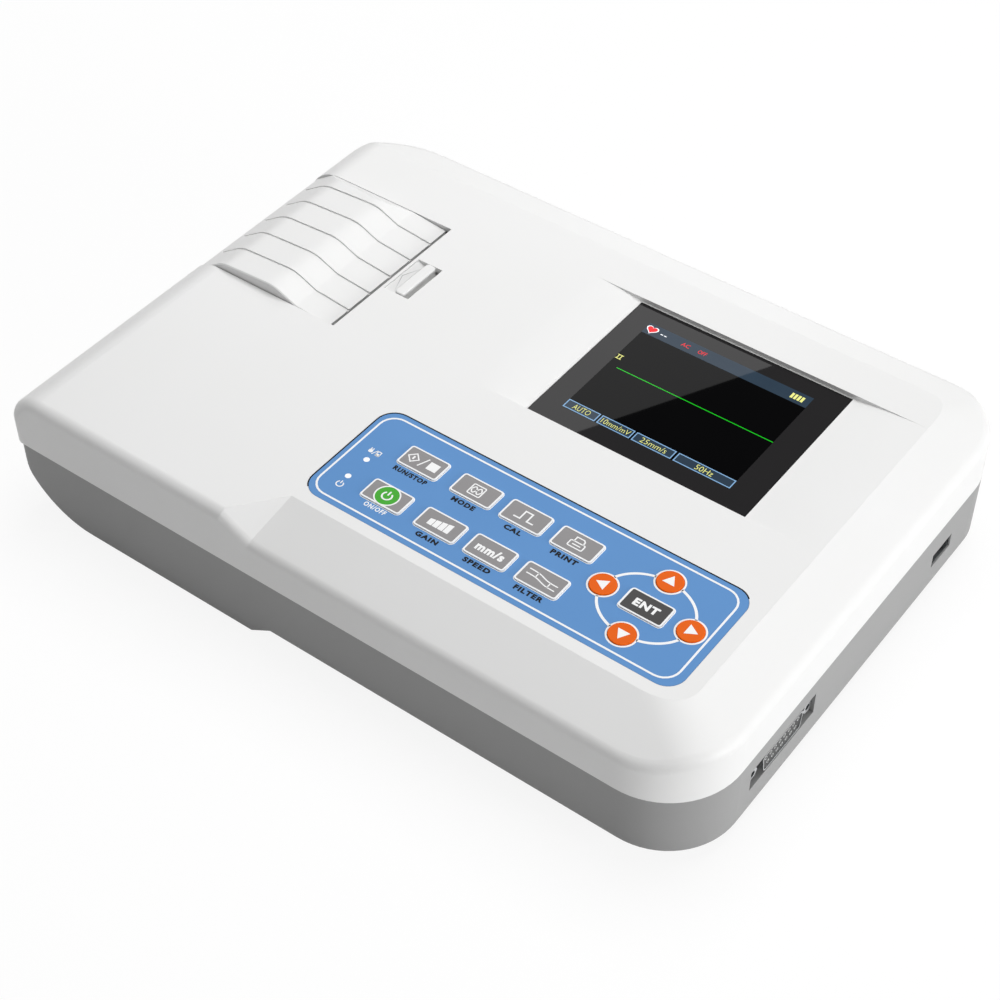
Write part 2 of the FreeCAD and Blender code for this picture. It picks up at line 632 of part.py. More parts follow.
# Door latch: a plate under the cover with a button through the slot and two noses
plate = box((70.5, 84.8), (catchY[0][0] - 0.5, catchY[1][1] + 0.5), (17.4, 19.4))
buttonY = (latchY[0] + slideGap, latchY[1] - slideGap)
button = roundedBlock(latchButton, buttonY, (19.4, coverHeight + 0.5), 1.2)
button = button.makeFillet(0.6, [e for e in button.Edges if e.BoundBox.ZMin > coverHeight + 0.4])
noses = []
for y in catchY:
    noses.append(box((70.5, 73.0), y, (14.7, 17.4)))
    noses.append(box((67.3, 70.5), y, (14.7, 16.6)))
save("door_latch", plate.fuse([button] + noses).removeSplitter())

# Recorder frame: two cheeks, a base, a head beam and a motor plate
paperY = centred(paperMiddleY, paperWidth)
cheekFront = (paperY[0] - cheekGap - cheekThick, paperY[0] - cheekGap)
cheekRear = (paperY[1] + cheekGap, paperY[1] + cheekGap + cheekThick)
cheekOutline = [(12, 10), (54, 10), (57, 15), (72, 15), (72, 17.2), (84, 17.2), (84, lowFloor),
                (34, lowFloor), (19, -24), (12, -17)]
idlerX = platenX + idlerOffset
idlerReach = gearModule * (platenTeeth + idlerTeeth) / 2
idlerZ = platenZ - math.sqrt(idlerReach ** 2 - idlerOffset ** 2)
motorReach = gearModule * (pinionTeeth + idlerTeeth) / 2
motorX = idlerX - math.sqrt(motorReach ** 2 - motorDrop ** 2)
motorZ = idlerZ - motorDrop
plateY = (motorY[0] - motorPlate, motorY[0])
frame = prismXZ(cheekOutline, cheekFront).fuse([
    prismXZ(cheekOutline, cheekRear),
    box((60, 84), (cheekFront[1], cheekRear[0]), (lowFloor, lowFloor + 2)),
    box((73.4, 76.0), (cheekFront[1], cheekRear[0]), (-4, 14)),
    box((34, 62), (cheekRear[1], plateY[0]), (lowFloor, lowFloor + 2)),
    prismXZ([(25, 4), (62, 4), (62, lowFloor), (34, lowFloor), (25, -25)], plateY),
]).removeSplitter()
cuts = []
for y in (cheekFront, cheekRear):
    span = (y[0] - 0.5, y[1] + 0.5)
    cuts.append(rodY(rollX, rollZ, journalRadius + shaftGap, span))
    cuts.append(box(centred(rollX, 2 * (journalRadius + shaftGap)), span, (rollZ, 30)))
    cuts.append(rodY(platenX, platenZ, bushRadius, span))
    cuts.append(rodY(69.9, -1.0, 1.5, span))
cuts.append(rodY(idlerX, idlerZ, 1.5, (cheekRear[0] - 1, plateY[1] + 1)))
cuts.append(rodY(motorX, motorZ, 3.0, (plateY[0] - 1, plateY[1] + 1)))
save("recorder_frame", frame.cut(cuts))

# Paper roll on its core and spindle
save("paper_roll", rodY(rollX, rollZ, rollRadius, paperY).cut(rodY(rollX, rollZ, coreRadius, paperY)))
save("roll_core", rodY(rollX, rollZ, coreRadius, paperY).cut(rodY(rollX, rollZ, spindleRadius, paperY)))
spindle = rodY(rollX, rollZ, spindleRadius, paperY)
spindle = spindle.fuse(rodY(rollX, rollZ, journalRadius, (cheekFront[0] + 0.2, cheekRear[1] - 0.2)))
save("roll_spindle", spindle.removeSplitter())

# Platen: shaft, rubber, bushes and gear; idler and its pin; motor, shaft and pinion
save("platen_shaft", rodY(platenX, platenZ, platenShaft, (cheekFront[0] - 0.4, gearY[1] + 0.4)))
sleeve = rodY(platenX, platenZ, platenRadius, paperY)
save("platen_rubber", sleeve.cut(rodY(platenX, platenZ, platenShaft, paperY)))
bushes = []
for y in (cheekFront, cheekRear):
    bore = rodY(platenX, platenZ, platenShaft + shaftGap, y)
    bushes.append(rodY(platenX, platenZ, bushRadius, y).cut(bore))
save("platen_bushes", Part.makeCompound(bushes))
toPlaten = math.atan2(platenZ - idlerZ, platenX - idlerX)
toMotor = math.atan2(motorZ - idlerZ, motorX - idlerX)
idlerPhase = toPlaten
platenPhase = toPlaten + math.pi + math.pi / platenTeeth
gapAtMotor = (toMotor - idlerPhase) * idlerTeeth / (2 * math.pi)
lead = (gapAtMotor - round(gapAtMotor)) * 2 * math.pi / idlerTeeth
pinionPhase = toMotor + math.pi + math.pi / pinionTeeth + lead * idlerTeeth / pinionTeeth
save("platen_gear", involuteGear(platenX, platenZ, platenTeeth, gearY, platenPhase, platenShaft))
save("idler_gear", involuteGear(idlerX, idlerZ, idlerTeeth, gearY, idlerPhase, 1.5 + shaftGap))
save("idler_pin", rodY(idlerX, idlerZ, 1.5, (cheekRear[0], plateY[1])))
pinionY = (gearY[0] - 0.4, gearY[1] + 0.4)
save("motor_pinion", involuteGear(motorX, motorZ, pinionTeeth, pinionY, pinionPhase, motorShaft))
save("motor_shaft", rodY(motorX, motorZ, motorShaft, (gearY[0] - 1, motorY[0] + 5)))
motor = rodY(motorX, motorZ, motorRadius, motorY).fuse(rodY(motorX, motorZ, 3.0, (plateY[0], motorY[0])))
motor = motor.removeSplitter()
motor = motor.cut(rodY(motorX, motorZ, motorShaft + shaftGap, (plateY[0] - 1, motorY[0] + 5.2)))
save("feed_motor", motor)

# Print head on its heat sink, pressed by a leaf spring against the head beam
headY = (paperY[0] + 0.2, paperY[1] - 0.2)
save("print_head", box((66.9, 67.9), headY, (2, 14.8)))
sink = box((67.9, 71.9), headY, (-4, 14.8))
for z in (4.5, 7.5, 10.5):
    sink = sink.cut(box((69.9, 72.5), headY, centred(z, 1.4)))
sink = sink.fuse(rodY(69.9, -1.0, 1.5, (cheekFront[0], cheekRear[1]))).removeSplitter()
save("head_heat_sink", sink)
leaf = []
leafOutline = ((0, 0), (4, 0), (20, 1.2), (24, 1.2), (24, 1.5), (20, 1.5), (4, 0.3), (0, 0.3))
for side in (-1, 1):
    corners = [V(71.9 + b, paperMiddleY + side * a, 0.5) for a, b in leafOutline]
    leaf.append(polygonFace(corners).extrude(V(0, 0, 2.2)))
save("head_spring", leaf[0].fuse(leaf[1]).removeSplitter())

# Boards
boardSpan = (boardZ, boardZ + boardThick)
socketWing = box((boardX[1] - 37.5, boardX[1]), (boardY[1] - 10.0, boardY[1] + 20.0), boardSpan)
mainBoard = box(boardX, boardY, boardSpan).fuse(socketWing)
save("main_board", mainBoard.removeSplitter())
canX = (boardX[0] + 27.5, boardX[1] - 73.5)
save("shield_can", box(canX, (boardY[0] + 28.0, boardY[0] + 72.0), (boardSpan[1], boardSpan[1] + 5)))
save("buzzer", rodZ(boardX[0] + 17.5, boardY[0] + 20.0, 6, (boardSpan[1], boardSpan[1] + 6)))
save("power_board", box(powerX, powerY, boardSpan))
coreX = (powerX[0] + 12.0, powerX[0] + 40.0)
save("power_transformer", box(coreX, (powerY[0] + 5.0, powerY[1] - 5.0), (boardSpan[1], boardSpan[1] + 18)))

# Lead connector: steel shell and flange, black insulator, fifteen contacts, two jackscrews
middleY, middleZ = leadMiddle
flangeX = (leadFloorX - 2.0, leadFloorX - 1.2)
tongueX = (flangeX[0], length - 0.1)
flange = box(flangeX, centred(middleY, 39.1), (middleZ - 6.2, middleZ + 6.2))
shell = flange.fuse(leadShape(shellSize[0], shellSize[1], (flangeX[0], tongueX[1]))).removeSplitter()
innerSize = (shellSize[0] - 0.9, shellSize[1] - 0.9)
shell = shell.cut(leadShape(innerSize[0], innerSize[1], (flangeX[0] - 1, length)))
shell = shell.cut([rodX(y, middleZ, 1.5, (flangeX[0] - 1, length)) for y in screwHoles])
save("lead_shell", shell)
insulator = leadShape(innerSize[0], innerSize[1], (flangeX[0], tongueX[1] - 0.3))
rear = box((flangeX[0] - 9.6, flangeX[0]), centred(middleY, 24.0), (middleZ - 5.0, middleZ + 5.0))
insulator = insulator.fuse(rear).removeSplitter()
places = [(middleY + leadPitch * (i - 3.5), middleZ + leadRowPitch / 2) for i in range(8)]
places += [(middleY + leadPitch * (i - 3.0), middleZ - leadRowPitch / 2) for i in range(7)]
insulator = insulator.cut([rodX(y, z, 0.75, (tongueX[1] - 4, length)) for y, z in places])
save("lead_insulator", insulator)
contacts = []
for y, z in places:
    sleeve = rodX(y, z, 0.75, (tongueX[1] - 4, tongueX[1] - 0.3))
    contacts.append(sleeve.cut(rodX(y, z, 0.48, (tongueX[1] - 3, length))))
save("lead_contacts", Part.makeCompound(contacts))
jacks = []
for y in screwHoles:
    corners = []
    for i in range(6):
        turn = math.radians(60 * i)
        corners.append(V(leadFloorX, y + 2.75 * math.cos(turn), middleZ + 2.75 * math.sin(turn)))
    nut = polygonFace(corners).extrude(V(length - 1.0 - leadFloorX, 0, 0))
    nut = nut.fuse(rodX(y, middleZ, 1.5, (flangeX[0] - 1.5, leadFloorX))).removeSplitter()
    jacks.append(nut.cut(rodX(y, middleZ, 1.25, (length - 5.0, length))))
save("lead_jackscrews", Part.makeCompound(jacks))

# USB socket
usbX = (length - 15.0, length - 0.5)
usbShell = box(usbX, centred(usbMiddle[0], 13.2), centred(usbMiddle[1], 5.8))
usbMouth = box((usbX[0] + 1, length), centred(usbMiddle[0], 12.5), centred(usbMiddle[1], 5.1))
save("usb_shell", usbShell.cut(usbMouth))
tongueZ = (usbMiddle[1] + 0.3, usbMiddle[1] + 2.1)
tongue = box((usbX[0] + 1, usbX[1] - 0.8), centred(usbMiddle[0], 11.2), tongueZ)
root = box((usbX[0] + 1, usbX[0] + 3), centred(usbMiddle[0], 12.5), centred(usbMiddle[1], 5.1))
save("usb_tongue", tongue.fuse(root).removeSplitter())

# Mains inlet with three pins
inletY = (depth - 22.0, depth)
inlet = box(inletX, (depth - 1.6, depth), inletZ)
inletBack = box(centred(inletMiddle[0], inletBody[0]), (inletY[0], depth - 1.6),
                centred(inletMiddle[1], inletBody[1]))
inlet = inlet.fuse(inletBack).removeSplitter()
w, h = 12.2, 8.0
mouth = [(-w, -h), (w, -h), (w, h - 4), (w - 4, h), (-w + 4, h), (-w, h - 4)]
mouthFace = polygonFace([V(inletMiddle[0] + a, depth - 17, inletMiddle[1] + b) for a, b in mouth])
inlet = inlet.cut(mouthFace.extrude(V(0, 20, 0)))
pins = []
for a, b in ((-7.0, 2.0), (7.0, 2.0), (0.0, -2.0)):
    pinZ = centred(inletMiddle[1] + b - 0.5, 4.0)
    pins.append(box(centred(inletMiddle[0] + a, 2.0), (depth - 24, depth - 2.5), pinZ))
save("mains_inlet", inlet.cut(pins))
save("inlet_pins", Part.makeCompound(pins))
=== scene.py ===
import json
import math

import bpy
import numpy as np
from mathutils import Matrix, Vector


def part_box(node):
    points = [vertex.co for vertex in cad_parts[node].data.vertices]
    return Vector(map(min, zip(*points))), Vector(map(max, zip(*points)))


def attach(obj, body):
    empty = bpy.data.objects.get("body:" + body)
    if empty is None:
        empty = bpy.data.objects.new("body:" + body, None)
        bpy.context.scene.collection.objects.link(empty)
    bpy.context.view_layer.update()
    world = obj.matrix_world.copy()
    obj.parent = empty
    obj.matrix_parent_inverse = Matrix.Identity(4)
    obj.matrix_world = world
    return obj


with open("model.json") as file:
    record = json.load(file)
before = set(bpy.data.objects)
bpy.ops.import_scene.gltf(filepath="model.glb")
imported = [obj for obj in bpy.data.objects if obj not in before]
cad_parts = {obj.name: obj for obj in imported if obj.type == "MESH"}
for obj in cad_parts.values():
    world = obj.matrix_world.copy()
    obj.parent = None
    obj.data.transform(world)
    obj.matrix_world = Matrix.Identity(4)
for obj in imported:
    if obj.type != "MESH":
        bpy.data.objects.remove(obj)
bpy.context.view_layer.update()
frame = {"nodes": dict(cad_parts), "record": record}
mm = 0.001
print("frame loaded:", len(frame["nodes"]), "nodes")


# sRGB hex to linear colour
def hexLinear(code):
    srgb = np.array([int(code[i:i + 2], 16) for i in (1, 3, 5)]) / 255
    linear = np.where(srgb <= 0.04045, srgb / 12.92, ((srgb + 0.055) / 1.055) ** 2.4)
    return (*linear.tolist(), 1.0)


# one node with its settings, its input values and its incoming links
def addNode(tree, kind, settings=None, values=None, links=None):
    node = tree.nodes.new(kind)
    for key, value in (settings or {}).items():
        setattr(node, key, value)
    for key, value in (values or {}).items():
        node.inputs[key].default_value = value
    for key, socket in (links or {}).items():
        tree.links.new(socket, node.inputs[key])
    return node


coatGloss = 0.06     # roughness of a clear coat
reliefShare = 0.2    # height of the grain as a share of its size


# a surface whose fine grain lifts it and changes its gloss, while two near tones drift over it
# grain and drift are real sizes in mm; stretch draws the grain out along an axis, as brushing does
def finish(name, tones, roughness, grain, relief, drift=25.0, spread=0.05, stretch=(1, 1, 1),
           metallic=0.0, specular=0.5, coat=0.0, glow=0.0):
    material = bpy.data.materials.new(name)
    material.use_nodes = True
    tree = material.node_tree
    tree.nodes.clear()
    place = addNode(tree, "ShaderNodeTexCoord")
    drawn = addNode(tree, "ShaderNodeMapping", values={"Scale": stretch},
                    links={"Vector": place.outputs["Object"]})
    fine = addNode(tree, "ShaderNodeTexNoise", values={"Scale": 1 / (grain * mm), "Detail": 3.0},
                   links={"Vector": drawn.outputs["Vector"]})
    broad = addNode(tree, "ShaderNodeTexNoise", values={"Scale": 1 / (drift * mm), "Detail": 2.0},
                    links={"Vector": place.outputs["Object"]})
    tone = addNode(tree, "ShaderNodeMix", {"data_type": "RGBA"},
                   {"A": hexLinear(tones[0]), "B": hexLinear(tones[1])},
                   {"Factor": broad.outputs["Fac"]})
    gloss = addNode(tree, "ShaderNodeMapRange",
                    values={"To Min": roughness - spread, "To Max": roughness + spread},
                    links={"Value": fine.outputs["Fac"]})
    bump = addNode(tree, "ShaderNodeBump",
                   values={"Strength": relief, "Distance": grain * mm * reliefShare},
                   links={"Height": fine.outputs["Fac"]})
    shader = addNode(tree, "ShaderNodeBsdfPrincipled",
                     values={"Metallic": metallic, "Specular IOR Level": specular, "Coat Weight": coat,
                             "Coat Roughness": coatGloss, "Emission Strength": glow},
                     links={"Base Color": tone.outputs[2], "Roughness": gloss.outputs["Result"],
                            "Normal": bump.outputs["Normal"]})
    if glow:
        tree.links.new(tone.outputs[2], shader.inputs["Emission Color"])
    addNode(tree, "ShaderNodeOutputMaterial", links={"Surface": shader.outputs["BSDF"]})
    return material


# what the solids are made of, by the record's slot
finishes = {
    # ABS, moulded in a spark-eroded tool: an even satin white with a barely visible grain
    "white_abs": finish("abs_white_satin_moulded", ("#e9e9e8", "#ececec"), 0.42, 0.35, 0.10, 60.0,
                        specular=0.32),
    # the same ABS in grey, a touch rougher, so the case reads duller than the cover
    "grey_abs": finish("abs_grey_satin_moulded", ("#979797", "#9c9c9c"), 0.50, 0.35, 0.14, 45.0,
                       specular=0.35),
    # polyester film printed from behind, velvet-embossed: an even colour with a soft sheen
    "overlay_blue": finish("polyester_film_blue_printed", ("#588ec9", "#5c92cd"), 0.55, 0.25, 0.10, 30.0,
                           specular=0.20),
    # the same film in the keys' colours
    "key_grey": finish("polyester_film_grey_printed", ("#8e8c8d", "#949293"), 0.52, 0.25, 0.10, 9.0,
                       specular=0.18),
    "key_dark": finish("polyester_film_charcoal_printed", ("#403f3f", "#464545"), 0.52, 0.25, 0.10, 9.0,
                       specular=0.18),
    "key_orange": finish("polyester_film_orange_printed", ("#e85f00", "#ee6705"), 0.55, 0.25, 0.08, 6.0,
                         specular=0.10),
    # moulded light guide in opal PMMA: milky and glossy
    "lamp_clear": finish("pmma_opal_moulded", ("#f4f6f7", "#ffffff"), 0.18, 0.8, 0.03, 2.0, coat=0.6),
    # toughened float glass with a black print on its back: nearly black under a clear hard gloss
    "window_glass": finish("glass_black_backprinted", ("#222122", "#262526"), 0.015, 6.0, 0.0, 40.0, 0.004,
                           specular=0.16),
    # the panel's own polished glass, unlit
    "panel_glass": finish("glass_panel_polished", ("#15171a", "#1b1e22"), 0.12, 3.0, 0.02, 20.0),
    # bright nickel-plated steel, pressed: fine drawn lines along its length
    "steel": finish("steel_nickel_plated_pressed", ("#b9bbbd", "#cfd1d2"), 0.26, 0.30, 0.12, 5.0, 0.08,
                    (1, 8, 1), metallic=1.0),
    # brass, turned: fine rings from the tool
    "brass": finish("brass_turned", ("#c8a24e", "#d9b863"), 0.24, 0.25, 0.10, 4.0, 0.06, (1, 8, 1),
                    metallic=1.0),
    # silicone rubber, ground: dull with a fine tooth
    "rubber": finish("silicone_rubber_ground", ("#1d1e20", "#28292b"), 0.78, 0.20, 0.35, 6.0),
    # thermal paper, calendered and wound: cream white, layer edges on the ends
    "paper": finish("thermal_paper_wound", ("#f0eee8", "#e6e3da"), 0.62, 0.25, 0.25, 8.0,
                    stretch=(1, 0.15, 1)),
    # cardboard, wound: brown and dull
    "cardboard": finish("cardboard_wound", ("#a98457", "#bb9768"), 0.85, 0.40, 0.45, 5.0),
    # PBT, moulded: black with a light satin
    "black_plastic": finish("pbt_black_moulded", ("#1a1a1b", "#222223"), 0.45, 0.30, 0.18, 9.0),
    # acetal, moulded without a dye: a waxy off-white
    "gear_nylon": finish("acetal_natural_moulded", ("#e3dfd2", "#ece8dc"), 0.36, 0.25, 0.12, 5.0),
    # glass-epoxy board under solder resist: the weave shows faintly through the green
    "board_green": finish("glass_epoxy_green_coated", ("#1f5a36", "#27693f"), 0.35, 0.60, 0.15, 2.5,
                          coat=0.3),
    # aluminium, extruded: die lines along its length
    "aluminium": finish("aluminium_extruded", ("#b7bbc0", "#c7cbd0"), 0.34, 0.30, 0.15, 6.0, 0.08, (1, 10, 1),
                        metallic=1.0),
    # alumina, glazed: a smooth warm white
    "ceramic": finish("alumina_ceramic_glazed", ("#e9e7df", "#f2f0e9"), 0.25, 0.40, 0.06, 6.0),
    # PVC sleeve, shrunk on: slightly wavy
    "battery_wrap": finish("pvc_sleeve_shrunk", ("#2f6fa8", "#3a7db8"), 0.32, 1.5, 0.25, 12.0),
}
# nodes whose surface differs from their slot's
nodeFinishes = {
    # contacts of the lead socket: brass under matt tin, so their ends read as pale dots
    "lead_contacts": finish("brass_tin_plated", ("#cfd0d0", "#dddedd"), 0.38, 0.25, 0.08, 3.0, metallic=1.0),
    # tongue of the USB socket: grey PBT, moulded
    "usb_tongue": finish("pbt_grey_moulded", ("#7d7e7f", "#868788"), 0.45, 0.30, 0.18, 4.0),
}
for part in frame["record"]["subparts"]:
    node = frame["nodes"][part["node"]]
    if not node.material_slots:
        node.data.materials.append(None)
    for holder in node.material_slots:
        holder.material = nodeFinishes.get(part["node"], finishes[part["material_slot"]])
print("finishes on the solids:", len(finishes) + len(nodeFinishes))


# liquid crystal under polished glass, lit from behind: its own light with the glass's gloss
def litFinish(name, tones, drift, glow):
    return finish(name, tones, 0.015, 0.6, 0.0, drift, 0.004, specular=0.11, glow=glow)


# inks and picture colours
inks = {
    # screen ink, cured: an opaque film with a slightly uneven edge-to-edge tone
    "white": finish("screen_ink_white_cured", ("#f4f5f6", "#fcfcfc"), 0.55, 0.20, 0.12, 3.0, specular=0.25),
    "black": finish("screen_ink_black_cured", ("#0b0b0c", "#131314"), 0.60, 0.20, 0.12, 3.0, specular=0.12),
    "green": finish("screen_ink_green_cured", ("#3ea628", "#46b030"), 0.55, 0.20, 0.10, 4.0, specular=0.15),
    # a line cut into the tool: the moulded edge that stands up is drawn greyer than the face around it, as
    # painted shade on its sides
    "relief": finish("abs_relief_line_painted_shade", ("#a9a9a9", "#b4b4b4"), 0.50, 0.20, 0.12, 2.0),
    # liquid crystal where it stays dark: nearly black under the glass
    "lcdBlack": finish("lcd_field_dark", ("#020203", "#040405"), 0.015, 6.0, 0.0, 30.0, 0.004,
                       specular=0.065),
    # and where it lets light through
    "lcdBlue": litFinish("lcd_band_blue", ("#202c39", "#26333f"), 8.0, 0.75),
    "lcdLine": litFinish("lcd_line_blue", ("#6f93b6", "#7a9fc2"), 8.0, 0.5),
    "lcdGreen": litFinish("lcd_trace_green", ("#12a018", "#19ad20"), 8.0, 0.65),
    "lcdYellow": litFinish("lcd_text_yellow", ("#cfd077", "#dadb86"), 4.0, 0.45),
    "lcdRed": litFinish("lcd_mark_red", ("#d8141c", "#e0222a"), 4.0, 0.5),
    "lcdWhite": litFinish("lcd_mark_white", ("#e8ecef", "#f4f6f8"), 4.0, 0.45),
}


# a flat place to draw on: its origin in mm, two directions in it and the direction up from it
def flatPlace(origin, across=(1, 0, 0), along=(0, 1, 0)):
    across = np.array(across, float)
    along = np.array(along, float)
    return np.array(origin, float), across, along, np.cross(across, along)


film = 0.05          # mm, thickness that a printed line stands up
sunk = 0.04          # mm, how far its underside goes into what carries it
mitreLimit = 0.5     # keeps the corner of a sharp bend short


# line: a four-cornered section carried along a path, its sides mitred at each bend
# point(i, j) = path(i) + side(j) * half width * mitre(i), lifted to the film's top or sunk below
def line(place, path, width, closed=False, depth=sunk):
    origin, across, along, up = place
    path = np.asarray(path, float)
    before = np.roll(path, 1, 0)
    after = np.roll(path, -1, 0)
    if not closed:
        before[0] = 2 * path[0] - path[1]
        after[-1] = 2 * path[-1] - path[-2]
    into = path - before
    out = after - path
    into /= np.linalg.norm(into, axis=1)[:, None]
    out /= np.linalg.norm(out, axis=1)[:, None]
    normalIn = np.stack([-into[:, 1], into[:, 0]], 1)
    normalOut = np.stack([-out[:, 1], out[:, 0]], 1)
    mitre = normalIn + normalOut
    mitre /= np.maximum((mitre * normalIn).sum(1), mitreLimit)[:, None]
    side = np.array([1, -1, -1, 1]) * width / 2
    level = np.array([-depth, -depth, film, film])
    flat = path[:, None, :] + mitre[:, None, :] * side[None, :, None]
    points = origin + flat[..., :1] * across + flat[..., 1:] * along + level[None, :, None] * up
    count = len(path)
    runs = count if closed else count - 1
    i = np.repeat(np.arange(runs), 4)
    j = np.tile(np.arange(4), runs)
    k = (i + 1) % count
    faces = np.stack([i * 4 + j, i * 4 + (j + 1) % 4, k * 4 + (j + 1) % 4, k * 4 + j], 1).tolist()
    if not closed:
        last = (count - 1) * 4
        faces += [[3, 2, 1, 0], [last, last + 1, last + 2, last + 3]]
    return points.reshape(-1, 3), faces


# patch: round(s) runs along a star-shaped outline, and out(t) goes from the top's middle over the
# rim and back to the underside's middle
def patch(place, outline):
    origin, across, along, up = place
    outline = np.asarray(outline, float)
    middle = outline.mean(0)
    count = len(outline)
    flat = np.vstack([outline, outline, middle, middle])
    level = np.concatenate([np.full(count, film), np.full(count, -sunk), [film, -sunk]])
    points = origin + flat[:, :1] * across + flat[:, 1:] * along + level[:, None] * up
    i = np.arange(count)
    k = (i + 1) % count
    top = np.stack([i, k, np.full(count, 2 * count)], 1).tolist()
    foot = np.stack([k + count, i + count, np.full(count, 2 * count + 1)], 1).tolist()
    rim = np.stack([i, i + count, k + count, k], 1).tolist()
    return points, top + foot + rim


# outline of a rectangle, counter-clockwise
def rectangle(low, high):
    return [(low[0], low[1]), (high[0], low[1]), (high[0], high[1]), (low[0], high[1])]


# outline of a rectangle with round corners: four arcs of the same radius, counter-clockwise
def roundedOutline(low, high, radius, steps=7):
    turn = np.linspace(0, np.pi / 2, steps)
    arc = np.stack([np.cos(turn), np.sin(turn)], 1) * radius
    quarter = np.array([[0, -1], [1, 0]])
    corners = ((high[0] - radius, high[1] - radius), (low[0] + radius, high[1] - radius),
               (low[0] + radius, low[1] + radius), (high[0] - radius, low[1] + radius))
    spin = np.eye(2)
    rows = []
    for corner in corners:
        rows.append(arc @ spin.T + corner)
        spin = quarter @ spin
    return np.vstack(rows)


# arc of an ellipse about a middle, from one angle to another in degrees
def arcPath(middle, reach, start, end, steps=32):
    turn = np.radians(np.linspace(start, end, steps))
    return np.stack([middle[0] + reach[0] * np.cos(turn), middle[1] + reach[1] * np.sin(turn)], 1)


circleSteps = 48
circleEnd = 360 - 360 / circleSteps     # a closed path doesn't repeat its first point


# a full circle as a closed path
def circlePath(middle, radius):
    return arcPath(middle, (radius, radius), 0, circleEnd, circleSteps)


# words as a mesh: the letters' outline, filled and lifted, stretched to a width and a height in mm
def lettering(place, words, middle, size, weight=0.02, spacing=1.0):
    origin, across, along, up = place
    curve = bpy.data.curves.new("letters", "FONT")
    curve.body = words
    curve.size = 1.0
    curve.offset = weight
    curve.space_character = spacing
    curve.extrude = 0.5
    curve.resolution_u = 3
    holder = bpy.data.objects.new("letters", curve)
    bpy.context.scene.collection.objects.link(holder)
    bpy.context.view_layer.update()
    shaped = holder.evaluated_get(bpy.context.evaluated_depsgraph_get())
    mesh = bpy.data.meshes.new_from_object(shaped)
    points = np.zeros(len(mesh.vertices) * 3, np.float32)
    mesh.vertices.foreach_get("co", points)
    points = points.reshape(-1, 3).astype(float)
    faces = [list(face.vertices) for face in mesh.polygons]
    bpy.data.objects.remove(holder)
    bpy.data.curves.remove(curve)
    bpy.data.meshes.remove(mesh)
    low, high = points.min(0), points.max(0)
    share = (points - low) / (high - low)
    flat = np.array(middle) + (share[:, :2] - 0.5) * np.array(size)
    level = -sunk + share[:, 2] * (film + sunk)
    return origin + flat[:, :1] * across + flat[:, 1:] * along + level[:, None] * up, faces


# joins drawn shapes into one piece, gives it its ink and puts it on its body
def printPiece(name, shapes, ink, body):
    points, faces, start = [], [], 0
    for shapePoints, shapeFaces in shapes:
        points.append(shapePoints)
        faces += [[start + v for v in face] for face in shapeFaces]
        start += len(shapePoints)
    mesh = bpy.data.meshes.new(name)
    mesh.from_pydata(np.vstack(points) * mm, [], faces)
    mesh.validate()
    mesh.update()
    mesh.materials.append(inks[ink])
    piece = bpy.data.objects.new(name, mesh)
    bpy.context.scene.collection.objects.link(piece)
    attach(piece, body)


# a node's middle and the height of its top, in mm
def topOf(node):
    low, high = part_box(node)
    return np.array([(low.x + high.x) / 2, (low.y + high.y) / 2, high.z]) / mm


# a node's plan corners and the height of its top, in mm
def planOf(node):
    low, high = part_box(node)
    return np.array(low[:2]) / mm, np.array(high[:2]) / mm, high.z / mm


# keypad film: border line, the ring that joins the arrow keys, captions and lamp signs
keypad = {
    "inset": ((2.0, 2.4), (3.0, 2.2)),      # border line in from the left and front, right and back
    "borderRound": 6.0,
    "borderWidth": 0.72,
    "ringWidth": 0.95,
    "ringGap": 0.4,                         # between the ring's ends and a round key
    "halo": (0.13, 0.42, 0.75),             # white round a key: inner edge, outer edge, outer if round
    "haloCorner": 0.3,                      # added to the key's own corner
    "signShift": 0.1,                       # lamp signs to the right of the lamps' middle
    "powerSignDrop": 3.4,                   # in front of the lamps
    "chargeSignLift": 3.2,                  # behind them
    "captionDrop": 7.0,                     # caption's middle in front of its key's middle
    "captionShift": 0.3,                    # and to the left of it
    "captionHeight": 2.1,
    "captionWeight": 0.05,
    "captionSpacing": 1.2,
    "captions": {
        "key_start_stop": ("RUN/STOP", 13.6), "key_mode": ("MODE", 9.2), "key_calibrate": ("CAL", 6.8),
        "key_print": ("PRINT", 10.2), "key_gain": ("GAIN", 8.8), "key_speed": ("SPEED", 10.6),
        "key_filter": ("FILTER", 11.0),
    },
    "powerCaption": ("ON/OFF", 8.8),
    "powerLift": 0.5,                       # this caption lies further back, lower and lighter
    "powerShare": 0.95,
    "powerWeight": 0.03,
    "paintedShadeLine": (0.2, 0.5),                 # painted shade: a dark line round the film where the pocket's wall lies in shade; its middle out from it, its width
    "filmRound": 7.0,
    "keyHalf": (8.05, 4.65),                # half a key's cap, without its hidden flange
    "keyRound": 1.2,
    "arrowRadius": 4.6,
}
filmLow, filmHigh, filmTop = planOf("keypad_overlay")
filmPlace = flatPlace((0, 0, filmTop))
borderLow = filmLow + keypad["inset"][0]
borderHigh = filmHigh - keypad["inset"][1]
border = roundedOutline(borderLow, borderHigh, keypad["borderRound"])
white = [line(filmPlace, border, keypad["borderWidth"], True)]
padMiddle = topOf("key_enter")
arrowReach = np.array([topOf("key_right")[0] - padMiddle[0], topOf("key_up")[1] - padMiddle[1]])
